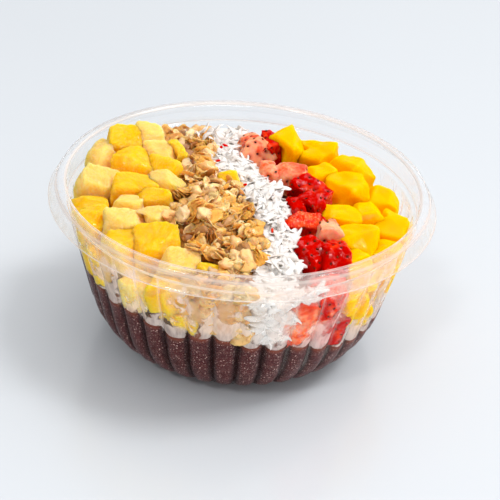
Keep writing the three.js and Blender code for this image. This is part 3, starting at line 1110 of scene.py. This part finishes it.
def mark_skin(bm, rng, ripeness, cut, seeds):
    """Stores where a piece is skin or flesh, and presses pits for its seeds into the skin."""
    bm.normal_update()
    tone, rim, pit, skin = marks(bm, "ripeness", "rim", "pit", "skin")
    middle = middle_of(bm)
    widest = max((v.co - middle).length for v in bm.verts)
    spots = seed_spots(bm, cut, rng)
    tree = spots_tree(spots)
    for v in bm.verts:
        v[tone] = ripeness
        v[skin] = ease(0.75, 0.5, v.normal.dot(cut))
        aside = v.co - middle
        v[rim] = (aside - cut * aside.dot(cut)).length / widest
        if spots:
            _, _, apart = tree.find(v.co)
            v[pit] = math.exp(-((apart / 1.1) ** 2))
            if apart < 1.4:
                v.co -= v.normal * 0.45 * math.exp(-((apart / 0.8) ** 2))
    seeds.extend(spots)


def spots_tree(spots):
    """A search tree of the seeds' places."""
    tree = KDTree(len(spots))
    for i, (at, _) in enumerate(spots):
        tree.insert(at, i)
    tree.balance()
    return tree


def seed_spots(bm, cut, rng):
    """Places for seeds on the skin, well apart from each other."""
    spacing = settings().fruit.seeds / MM
    spots = []
    verts = list(bm.verts)
    for _ in range(SEED_TRIES):
        v = verts[rng.randrange(len(verts))]
        if v.normal.dot(cut) > 0.45:
            continue
        if all((v.co - at).length > spacing for at, _ in spots):
            spots.append((v.co.copy(), v.normal.copy()))
    return spots


def scatter_seeds(spots):
    """Sets a seed, half sunk in, at each of its places."""
    rng = random.Random(7)
    bm = bmesh.new()
    for at, normal in spots:
        turn = normal.to_track_quat("Z", "Y").to_matrix().to_4x4()
        turn = turn @ spin(rng, 0, FULL_TURN, "Z")
        size = Matrix.Diagonal((0.55, 0.36, 0.3, 1))
        place = Matrix.Translation(at - normal * 0.3) @ turn @ size
        bmesh.ops.create_icosphere(bm, subdivisions=2, radius=1, matrix=place)
    material, tree, shader = new_finish("seed", Roughness=0.5, Specular_IOR_Level=0.1)
    tone = grain(object_place(tree), 3)
    feed(shader, {"Base Color": coats(colour("#1c0402"), (tone, 0.4, 0.6, 1, "#6a2a10"))})
    finish(bm, "strawberry_seeds", material, ())


# Where crumbs of strawberry lie on the coconut.
RED_CRUMBS = (
    (-10.5, 32.4, 63.4), (-2.8, -3.5, 62.8), (0.5, 2.7, 63.0), (-11.1, 21.0, 63.0),
    (11.7, -30.1, 62.6), (-9.0, 34.5, 63.4), (-6.0, 12.0, 63.0),
)


def scatter_crumbs(berry):
    """Lays the crumbs of strawberry on the coconut."""
    rng = random.Random(8)
    bm = bmesh.new()
    for at in RED_CRUMBS:
        turn = random_turn(rng).to_4x4()
        size = (rng.uniform(0.6, 1.3), rng.uniform(0.4, 0.6), rng.uniform(0.4, 0.6), 1)
        place = Matrix.Translation(at) @ turn @ Matrix.Diagonal(size)
        made = bmesh.ops.create_icosphere(bm, subdivisions=3, radius=1, matrix=place)["verts"]
        for v in made:
            v.co += (v.co - Vector(at)) * 0.5 * wobble(v.co, 0.9)
    tone, skin = marks(bm, "ripeness", "skin")
    for v in bm.verts:
        v[tone] = 1.1
        v[skin] = 1.0
    own_place(bm, Vector(), Matrix.Identity(3))
    finish(bm, "strawberry_crumbs", berry, ())


def strawberry_finish():
    """Strawberry: glossy red skin, and paler cut flesh with fine streaks."""
    material, tree, shader, own = new_juicy("strawberry", 0.3, 0.08, 0.8, (2.5, 0.4, 0.15))
    clouds = grain(own, 5, detail=4)
    streaks = grain(stretch(own, x=0.15), 0.8, detail=2)
    ripe = reach(tree, "ripeness")
    tone = plus(ripe, spread(clouds, 0.32, 0.68, -0.55, 0.55))
    # The seed pits are deeper red: partly the berry's own colour, partly painted shade in the
    # pits.
    skin = coats(
        colour("#f8a078"),
        (tone, 0.0, 0.55, 1, "#e84018"),
        (tone, 0.5, 1.0, 1, (*settings().fruit.skin, 1)),
        (reach(tree, "pit"), 0, 1, 0.7, "#b00c04"),
    )
    flesh = coats(
        colour("#f8a880"),
        (tone, -0.2, 0.5, 1, "#f05828"),
        (tone, 0.5, 1.1, 1, "#d01400"),
        (streaks, 0.5, 0.68, 0.55, "#ffa070"),
    )
    edge = times(spread(reach(tree, "rim"), 0.45, 0.85), spread(ripe, -0.5, 0.6))
    flesh = blend(edge, flesh, colour("#c41000"))
    skinned = spread(plus(reach(tree, "skin"), clouds), 0.75, 1.2)
    ripple = bump(grain(own, 2.6, detail=1), 0.9)
    base = blend(skinned, flesh, skin)
    feed(shader, {"Base Color": base, "Normal": bump(streaks, 0.12), "Coat Normal": ripple})
    wet_patches(shader, own, 2.0, 0.0, 1.0)
    return material


# ---------- Heaps ----------


def search_trees(*names):
    """A search tree for each piece whose name starts so, with the corners of its box."""
    trees = []
    for piece in bpy.context.scene.collection.objects:
        if piece.name.startswith(names):
            bm = bmesh.new()
            bm.from_mesh(piece.data)
            corners = piece.bound_box
            low = Vector([min(c[k] for c in corners) for k in range(3)])
            high = Vector([max(c[k] for c in corners) for k in range(3)])
            trees.append((BVHTree.FromBMesh(bm), low, high))
            bm.free()
    return trees


def clear_test():
    """A test that says whether a point is clear of the fruit and of the wall."""
    boxes = search_trees("cut_")

    def clear(point, margin=0.55):
        radius = point.xy.length
        if point.z < WALL_TOP:
            if radius > along(CREASE_LINE, point.z) - margin:
                return False
        elif radius > BAND_RADIUS - margin - 0.4:
            return False
        at = point * MM
        for tree, low, high in boxes:
            if all(low[k] < at[k] < high[k] for k in range(3)):
                hit, normal, _, _ = tree.find_nearest(at)
                if hit is not None and (at - hit).dot(normal) < 0:
                    return False
        return True

    return clear


def surface_spots(piece, amount, rng, allow):
    """Random points on a piece's surface with their normals, even over its area."""
    mesh = piece.data
    faces = [face for face in mesh.polygons if allow(face.center / MM, face.normal)]
    totals = list(accumulate(face.area for face in faces))
    spots = []
    for _ in range(amount):
        pick = bisect_left(totals, rng.uniform(0, totals[-1]))
        face = faces[min(pick, len(faces) - 1)]
        corners = [mesh.vertices[i].co for i in face.vertices][:3]
        a, b = sorted((rng.random(), rng.random()))
        at = corners[0] * a + corners[1] * (b - a) + corners[2] * (1 - b)
        spots.append((at / MM, face.normal.copy()))
    return spots


def join_copies(name, copies, material):
    """One piece from many placed copies of a few small shapes. Each copy has its own tone and a
    depth that sets painted light and shade.
    """
    bm = bmesh.new()
    tone, depth = marks(bm, "tone", "depth")
    own = bm.verts.layers.float_vector.new("own_place")
    for shape, place, shade, up in copies:
        start = len(bm.verts)
        bm.from_mesh(shape)
        bm.verts.ensure_lookup_table()
        for v in bm.verts[start:]:
            v[own] = v.co * MM + Vector((shade, -shade, shade)) * 0.05
            v.co = place @ v.co
            v[tone] = shade
            v[depth] = up
    return finish(bm, name, material, ())


def add_flake(bm, seed, place):
    """A rolled oat flake: thin, oval, cupped, with a crease along its middle."""
    made = bmesh.ops.create_uvsphere(bm, u_segments=12, v_segments=5, radius=1)["verts"]
    for v in made:
        x, y, z = v.co
        edge = 1 + 0.3 * wobble(Vector((x, y, seed)), 0.5)
        fold = -0.4 * math.exp(-((y / 0.2) ** 2)) * (1 - x * x)
        cup = 0.5 * x * x + (0.5 * y * y if seed % 1 < 0.5 else -0.3 * y * y)
        ripple = 0.7 * wobble(Vector((x * 1.3, y * 1.3, seed)), 0.7)
        height = 0.24 * z + 1.5 * cup + fold + ripple
        v.co = place @ Vector((3.9 * x * edge, 2.7 * y * edge, height))


def flake_shape(rng):
    """A single flake."""
    bm = bmesh.new()
    add_flake(bm, rng.random() * 40, Matrix.Identity(4))
    return as_mesh(bm)


def stack_shape(rng):
    """A few flakes baked together like the pages of a book."""
    bm = bmesh.new()
    for level in range(4):
        turn = spin(rng, -0.5, 0.5, "Z") @ spin(rng, -0.2, 0.2, "X")
        shift = (rng.uniform(-0.9, 0.9), rng.uniform(-0.7, 0.7), (level - 1.5) * 0.85)
        size = Matrix.Scale(rng.uniform(0.75, 1.05), 4)
        add_flake(bm, rng.random() * 40, Matrix.Translation(shift) @ turn @ size)
    return as_mesh(bm)


def puff_shape(rng):
    """A puffed grain with a honey coat: a plump bean with a groove and dents."""
    bm = bmesh.new()
    bmesh.ops.create_uvsphere(bm, u_segments=18, v_segments=12, radius=1)
    bmesh.ops.rotate(bm, verts=bm.verts, matrix=Matrix.Rotation(math.pi / 2, 3, "Y"))
    seed = rng.random() * 40
    bend = rng.uniform(0.2, 0.6)
    for v in bm.verts:
        x, y, z = v.co
        dent = 1 + 0.45 * wobble(Vector((x * 1.2, y, z + seed)), 0.75)
        dent += 0.12 * wobble(Vector((x, y, z + seed)), 0.25)
        groove = 1 - 0.3 * math.exp(-((y / 0.25) ** 2)) * (z > 0)
        v.co = (3.5 * x * dent, 2.5 * y * dent + bend * x * x, 2.2 * z * dent * groove)
    return as_mesh(bm)


def crumb_shape(rng):
    """A crumb: a small broken bit."""
    bm = bmesh.new()
    bmesh.ops.create_icosphere(bm, subdivisions=2, radius=1)
    seed = rng.random() * 40
    for v in bm.verts:
        v.co *= 1 + 0.5 * wobble(v.co + Vector((seed, 0, 0)), 0.7)
        v.co = Vector((v.co.x * 1.1, v.co.y * 0.8, v.co.z * 0.6))
    return as_mesh(bm)


def shred_shape(rng):
    """A shred of coconut: a thin strip that tapers, bends and twists."""
    bm = bmesh.new()
    bmesh.ops.create_cube(bm, size=2)
    lengthwise = [e for e in bm.edges if abs(e.verts[0].co.x - e.verts[1].co.x) > 1]
    bmesh.ops.subdivide_edges(bm, edges=lengthwise, cuts=7, use_grid_fill=True)
    half = rng.uniform(2.8, 5.4)
    width = 0.75 + 1.0 * rng.random() ** 1.5
    bend = rng.uniform(-0.3, 0.06) * half
    swing = rng.uniform(-0.7, 0.7) * half
    twist = rng.uniform(-1.0, 1.0)
    for v in bm.verts:
        x, y, z = v.co
        taper = 1 - 0.7 * abs(x) ** 2.5
        y, z = y * width * taper, z * 0.17 * (0.6 + 0.4 * taper) + 0.3 * width * y * y
        turn = twist * x
        y, z = y * math.cos(turn) - z * math.sin(turn), y * math.sin(turn) + z * math.cos(turn)
        ripple = 0.3 * math.sin(3.4 * x + 5 * half)
        v.co = (half * x, y + swing * x * x + ripple, z + bend * x * x)
    bmesh.ops.recalc_face_normals(bm, faces=bm.faces)
    return as_mesh(bm)


def lay(spot, normal, rng, tilt, size, heading):
    """A place on a surface, with its length along a heading and tilted a little."""
    lean = Vector([rng.gauss(0, tilt) for _ in range(3)])
    upright = (normal + lean).normalized()
    along_x = Vector((math.cos(heading), math.sin(heading), 0.1))
    along_x = (along_x - upright * upright.dot(along_x)).normalized()
    turn = Matrix((along_x, upright.cross(along_x), upright)).transposed().to_4x4()
    return Matrix.Translation(spot) @ turn @ Matrix.Scale(size, 4)


def scatter(core, clear, shapes, amount, seed, half, rise, tilt, sizes, form="clusters"):
    """Lays copies of shapes over a core where they are clear of the fruit and the wall.

    Half is half a shape's length, rise how far it may stand off the core, and tilt how crooked it
    may lie. In tufts, near copies point the same way. In clusters, there are gaps between the
    heaps. The form "wall" lays them on the wall alone.
    """
    rng = random.Random(seed)

    def allow(at, normal):
        outward = at.xy.normalized().dot(normal.xy) if at.xy.length > 1 else 0
        at_wall = outward > 0.55 and at.xy.length > NEAR_WALL
        return at_wall or (normal.z > 0.1 and form != "wall")

    copies = []
    for spot, normal in surface_spots(core, amount, rng, allow):
        flat_on_wall = normal.z < 0.5 and spot.xy.length > NEAR_WALL and spot.z < FLUTES_END
        up = rng.uniform(*rise)
        heading = rng.uniform(0, 2 * math.pi)
        if form == "tufts":
            heading = 6.0 * wobble(spot, 8.0, 12) + rng.gauss(0, 0.8)
        else:
            cluster = wobble(spot, 5.0, 9)
            up += 1.3 * cluster
            if cluster < -0.42 and not flat_on_wall:
                continue
        if flat_on_wall:
            edge = wall_radius(bearing(spot), spot.z) - rng.uniform(0.8, 2.0)
            spot = Vector((*(spot.xy.normalized() * edge), spot.z))
            normal = Vector((*spot.xy.normalized(), 0.25)).normalized()
            place = lay(spot, normal, rng, tilt * 0.35, rng.uniform(*sizes), heading)
        else:
            place = lay(spot + normal * up, normal, rng, tilt, rng.uniform(*sizes), heading)
        middle = place.translation
        reach_out = place.to_3x3() @ Vector((half, 0, 0))
        margin = 0.4 if flat_on_wall else 0.7
        points = (middle, middle + reach_out, middle - reach_out)
        if all(clear(p, margin) for p in points):
            # How far a copy stands off the core: low granola copies get painted shade, low coconut
            # copies painted light.
            depth = 0.6 if flat_on_wall else clamp((up - rise[0]) / (rise[1] - rise[0]))
            copies.append((shapes[rng.randrange(len(shapes))], place, rng.random(), depth))
    return copies


def heap_core(kind, voxel, grow, lumps, material):
    """The heart of a heap, in place of its node, for the loose pieces to lie on."""
    bm = soft_mesh(kind, voxel, 3, grow)
    low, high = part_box(kind)
    rumple(bm, (low + high) / 2 / MM, lumps, Matrix.Identity(3))
    bmesh.ops.triangulate(bm, faces=bm.faces)
    return finish(bm, kind + "_core", material, [kind])


class GranolaOperator(bpy.types.Operator):
    """Builds the row of granola from flakes, puffed grains and crumbs"""

    bl_idname = "acai_bowl.granola"
    bl_label = "Granola"

    def execute(self, context):
        granola = settings().granola
        rng = random.Random(31)
        heart = granola_finish("granola_core", loose=False)
        core = heap_core("granola", 0.0009, -0.7, ((5.0, 1.2, 1.0), (1.2, 0.3, 1.0)), heart)
        clear = clear_test()
        flakes = [flake_shape(rng) for _ in range(8)]
        puffs = [puff_shape(rng) for _ in range(8)]
        crumbs = [crumb_shape(rng) for _ in range(5)]
        stacks = [stack_shape(rng) for _ in range(5)]
        baked = granola_finish("baked_oats")
        glazed = granola_finish("glazed_grain", glaze=0.9)
        lay_on = partial(scatter, core, clear)
        laid = lay_on(flakes, granola.flakes, 32, 2.8, (0.0, 1.6), 0.6, (0.75, 1.15))
        laid += lay_on(flakes, WALL_FLAKES, 36, 2.8, (0.0, 1.6), 0.5, (0.8, 1.2), "wall")
        join_copies("oat_flakes", laid, baked)
        laid = lay_on(stacks, granola.stacks, 35, 3.0, (0.4, 2.2), 1.6, (0.7, 1.05))
        join_copies("oat_stacks", laid, baked)
        laid = lay_on(puffs, granola.puffs, 33, 2.6, (0.4, 2.6), 0.5, (0.8, 1.2))
        join_copies("puffed_grain", laid, glazed)
        laid = lay_on(crumbs, granola.crumbs, 34, 0.8, (0.4, 2.2), 0.5, (0.8, 1.15))
        join_copies("granola_crumbs", laid, baked)
        return {"FINISHED"}


def granola_finish(name, loose=True, glaze=0.4):
    """Baked oats with a honey glaze, darker in patches, with painted shade deep down in the heap
    and on its core.
    """
    material, tree, shader = new_finish(
        name, Roughness=0.4, Specular_IOR_Level=0.1, Coat_Weight=glaze, Coat_Roughness=0.1
    )
    glow_through(shader, 0.6, (1.0, 0.6, 0.25))
    own = reach(tree, "own_place", "Vector") if loose else object_place(tree)
    clouds = grain(own, 1.6, detail=4)
    fine = grain(own, 0.4, detail=3)
    base = (*settings().granola.colour, 1)
    if loose:
        base = coats(base, (reach(tree, "tone"), 0.25, 0.9, 1, "#fdd79a"))
    base = coats(base, (clouds, 0.5, 0.7, 0.7, "#c07a20"), (fine, 0.6, 0.8, 0.4, "#8a4a10"))
    if glaze > 0.5:
        base = blend(0.2, base, colour("#fff0c4"))
    if loose:
        # Painted shade: pieces that lie low on the heap are darker.
        base = coats(base, (reach(tree, "depth"), 0.75, 0.0, 0.85, "#8a4810"))
    else:
        # Painted shade on the core: dark brown, darkest away from the wall.
        core_shade = spread(from_axis(own), 0.050, 0.055, 0.75, 0.2)
        base = blend(core_shade, base, colour("#4c2406"))
    feed(shader, {"Base Color": base, "Normal": bump(clouds, 0.2, after=bump(fine, 0.12))})
    return material


# Where single shreds stand up at the back of the row.
WISPS = (
    (-18.3, 48.0, 62.5), (-15.8, 44.1, 63.0), (-13.9, 46.3, 63.0), (-3.6, 47.9, 62.5),
    (-20.5, 45.0, 62.0), (-16.5, 46.5, 63.0), (-9.0, 46.0, 62.5), (-12.0, 43.0, 63.0),
    (-6.5, 44.0, 62.5), (-17.5, 43.0, 62.5), (-14.5, 41.0, 62.5), (-19.5, 47.0, 62.0),
    (-11.0, 45.5, 63.0),
)


class CoconutOperator(bpy.types.Operator):
    """Builds the row of shredded coconut"""

    bl_idname = "acai_bowl.coconut"
    bl_label = "Coconut"

    def execute(self, context):
        rng = random.Random(51)
        white = coconut_finish()
        core = heap_core("coconut", 0.0007, 0.25, ((3.5, 0.9, 1.0), (1.1, 0.45, 2.5)), white)
        shapes = [shred_shape(rng) for _ in range(14)]
        shreds = settings().coconut.shreds
        laid = scatter(
            core, clear_test(), shapes, shreds, 52, 2.6, (-0.2, 1.1), 0.2, (0.7, 1.1), "tufts"
        )
        for at in WISPS:
            lean = spin(rng, 0.5, 1.3, "Y") @ spin(rng, -0.6, 0.6, "X")
            turn = spin(rng, 0, FULL_TURN, "Z") @ lean
            place = Matrix.Translation(at) @ turn @ Matrix.Scale(rng.uniform(0.6, 0.85), 4)
            laid.append((shapes[rng.randrange(len(shapes))], place, rng.random(), 0.8))
        join_copies("coconut_shreds", laid, white)
        return {"FINISHED"}


def coconut_finish():
    """Shredded coconut: moist and white, letting some light through, with painted light on the
    low-lying shreds and on the core.
    """
    material, tree, shader = new_finish(
        "shredded_coconut", Roughness=0.6, Specular_IOR_Level=0.05
    )
    glow_through(shader, 0.25, (0.8, 0.7, 0.6))
    where = object_place(tree)
    # Painted light: shreds that lie low on the heap, and the core, are lightened towards white.
    base = coats(
        (*settings().coconut.colour, 1),
        (grain(where, 6, detail=3), 0.45, 0.7, 0.4, "#dccabc"),
        (reach(tree, "depth"), 0.8, 0.0, 0.9, "#fffcf8"),
    )
    feed(shader, {"Base Color": base, "Normal": bump(grain(where, 0.9), 0.25)})
    return material


# ---------- The stage ----------


class StageOperator(bpy.types.Operator):
    """Builds the pale floor, the soft studio light and the camera"""

    bl_idname = "acai_bowl.stage"
    bl_label = "Stage"

    def execute(self, context):
        stage = settings().stage
        scene = context.scene
        bm = bmesh.new()
        bmesh.ops.create_grid(bm, x_segments=4, y_segments=4, size=3.0)
        mesh = as_mesh(bm, "floor")
        look = {"Roughness": 0.22, "Base_Color": (*stage.floor, 1), "Specular_IOR_Level": 0.6}
        mesh.materials.append(new_finish("floor", **look)[0])
        floor = bpy.data.objects.new("floor", mesh)
        scene.collection.objects.link(floor)

        world = bpy.data.worlds.new("studio")
        scene.world = world
        world.use_nodes = True
        tree = world.node_tree
        sky = tree.nodes["Background"]
        sky.inputs["Color"].default_value = colour("#fcfdff")
        # Brightest overhead, dark at the sides, and pale all round where a gloss sees it.
        way = {0: node(tree, "TexCoord").outputs["Generated"], 1: (0.3, 0.25, 0.92)}
        overhead = node(tree, "VectorMath", way, operation="DOT_PRODUCT").outputs["Value"]
        glow = spread(overhead, 0.12, 0.95, 0.0, stage.sky)
        gloss = node(tree, "LightPath").outputs["Is Glossy Ray"]
        feed(sky, {"Strength": largest(glow, times(gloss, 0.32))})
        for name, at, size, part in LAMPS:
            lamp = bpy.data.lights.new(name, "AREA")
            lamp.energy = stage.key * part
            lamp.shape = "RECTANGLE"
            lamp.size, lamp.size_y = size
            holder = bpy.data.objects.new(name, lamp)
            holder.location = at
            holder.rotation_euler = (AIM - Vector(at)).to_track_quat("-Z", "Y").to_euler()
            scene.collection.objects.link(holder)

        lens = bpy.data.cameras.new("camera")
        lens.sensor_width = 36
        lens.lens = LENS
        lens.clip_start = 0.01
        camera = bpy.data.objects.new("camera", lens)
        turn = Matrix(CAMERA_AXES).transposed().to_4x4()
        camera.matrix_world = Matrix.Translation(CAMERA_PLACE) @ turn
        scene.collection.objects.link(camera)
        scene.camera = camera
        scene.view_settings.view_transform = "Standard"
        return {"FINISHED"}


class AcaiBowlPanel(bpy.types.Panel):
    """Lists the pieces and what may be changed"""

    bl_idname = "VIEW3D_PT_acai_bowl"
    bl_label = "Acai bowl"
    bl_space_type = "VIEW_3D"
    bl_region_type = "UI"
    bl_category = "Acai bowl"

    def draw(self, context):
        groups = context.scene.acai_bowl
        for operator, group in STEPS:
            box = self.layout.box()
            box.operator(operator.bl_idname)
            if group:
                chosen = getattr(groups, group)
                for key in chosen.__annotations__:
                    box.prop(chosen, key)


STEPS = (
    (PulpOperator, "pulp"),
    (PineappleOperator, "fruit"),
    (MangoOperator, None),
    (StrawberryOperator, None),
    (GranolaOperator, "granola"),
    (CoconutOperator, "coconut"),
    (ShellOperator, "shell"),
    (StageOperator, "stage"),
)

CLASSES = (
    ShellSettings, PulpSettings, FruitSettings, GranolaSettings, CoconutSettings, StageSettings,
    AcaiBowlSettings, *(operator for operator, _ in STEPS), AcaiBowlPanel,
)


def register():
    for each in CLASSES:
        bpy.utils.register_class(each)
    bpy.types.Scene.acai_bowl = bpy.props.PointerProperty(type=AcaiBowlSettings)


def unregister():
    del bpy.types.Scene.acai_bowl
    for each in reversed(CLASSES):
        bpy.utils.unregister_class(each)


def main():
    register()
    for operator, _ in STEPS:
        group, name = operator.bl_idname.split(".")
        getattr(getattr(bpy.ops, group), name)()
    bpy.context.view_layer.update()


if __name__ == "__main__":
    main()
